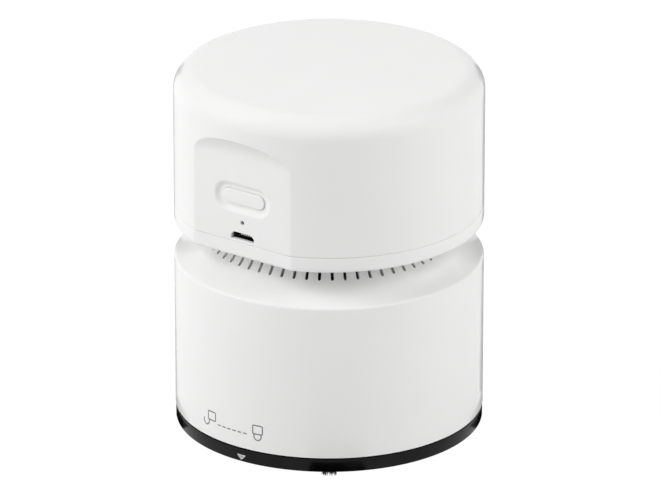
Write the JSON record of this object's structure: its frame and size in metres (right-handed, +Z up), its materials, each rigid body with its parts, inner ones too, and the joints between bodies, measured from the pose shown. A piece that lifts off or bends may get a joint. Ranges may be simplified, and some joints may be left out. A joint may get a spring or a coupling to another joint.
{
  "type": "desktop mini vacuum cleaner",
  "caption": "Cordless desktop mini vacuum: two white drums with a slotted waist, panel button, and a black twist-off base with brushes.",
  "frame": {"origin": "centre of the vacuum on the desk surface, under the glide pads", "axes": "+Z up along the vacuum's axis, -Y towards the viewer of the picture; the control panel faces 36.75 degrees to the left of -Y"},
  "size_m": [0.076, 0.076, 0.0952],
  "materials": {
    "satin_white": "satin moulded white",
    "gloss_black": "gloss black",
    "matt_black": "matt black",
    "grey_plastic": "matt grey",
    "clear_plastic": "clear",
    "black_rubber": "matt",
    "black_nylon": "fibres",
    "felt": "felt",
    "filter_cloth": "non-woven",
    "steel": "plated",
    "wound_core": "enamelled copper",
    "ferrite": "matt grey black",
    "cell_sleeve": "shrink sleeve",
    "board_green": "solder mask"
  },
  "bodies": {
    "housing": {"top_cover": "satin_white", "mid_frame": "satin_white", "lower_housing": "satin_white", "tact_switch": "steel", "led_light_pipe": "clear_plastic", "usb_shell": "steel", "usb_tongue": "matt_black", "control_board": "board_green", "battery_cell": "cell_sleeve", "battery_tray": "grey_plastic", "battery_tab_plus": "steel", "battery_tab_minus": "steel", "motor_can": "steel", "motor_end_cap": "matt_black", "motor_magnet": "ferrite", "motor_damper": "black_rubber", "fan_shroud": "matt_black", "filter_frame": "grey_plastic", "filter_media": "filter_cloth", "filter_seal": "black_rubber", "housing_screw_1": "steel", "housing_screw_2": "steel", "housing_screw_3": "steel"},
    "button": {"power_button": "satin_white", "switch_plunger": "matt_black"},
    "rotor": {"impeller": "grey_plastic", "motor_shaft": "steel", "motor_armature": "wound_core"},
    "base": {"base_ring": "gloss_black", "suction_plate": "matt_black", "intake_duct": "matt_black", "base_seal": "black_rubber", "brush_front": "black_nylon", "brush_right": "black_nylon", "brush_back": "black_nylon", "brush_left": "black_nylon", "glide_pad_1": "felt", "glide_pad_2": "felt", "glide_pad_3": "felt", "glide_pad_4": "felt", "plate_screw_1": "steel", "plate_screw_2": "steel", "plate_screw_3": "steel", "plate_screw_4": "steel"}
  },
  "joints": [
    {"name": "button_press", "type": "slide", "parent": "housing", "child": "button", "axis": [0.5983, 0.8013, 0], "range_m": [0, 0.0006], "stiffness_N_per_m": 1500},
    {"name": "fan_spin", "type": "hinge", "parent": "housing", "child": "rotor", "pos_m": [0, 0, 0.06], "axis": [0, 0, 1], "continuous": true},
    {"name": "base_twist", "type": "hinge", "parent": "housing", "child": "base", "pos_m": [0, 0, 0.0073], "axis": [0, 0, 1], "range_deg": [-15, 7]}
  ]
}
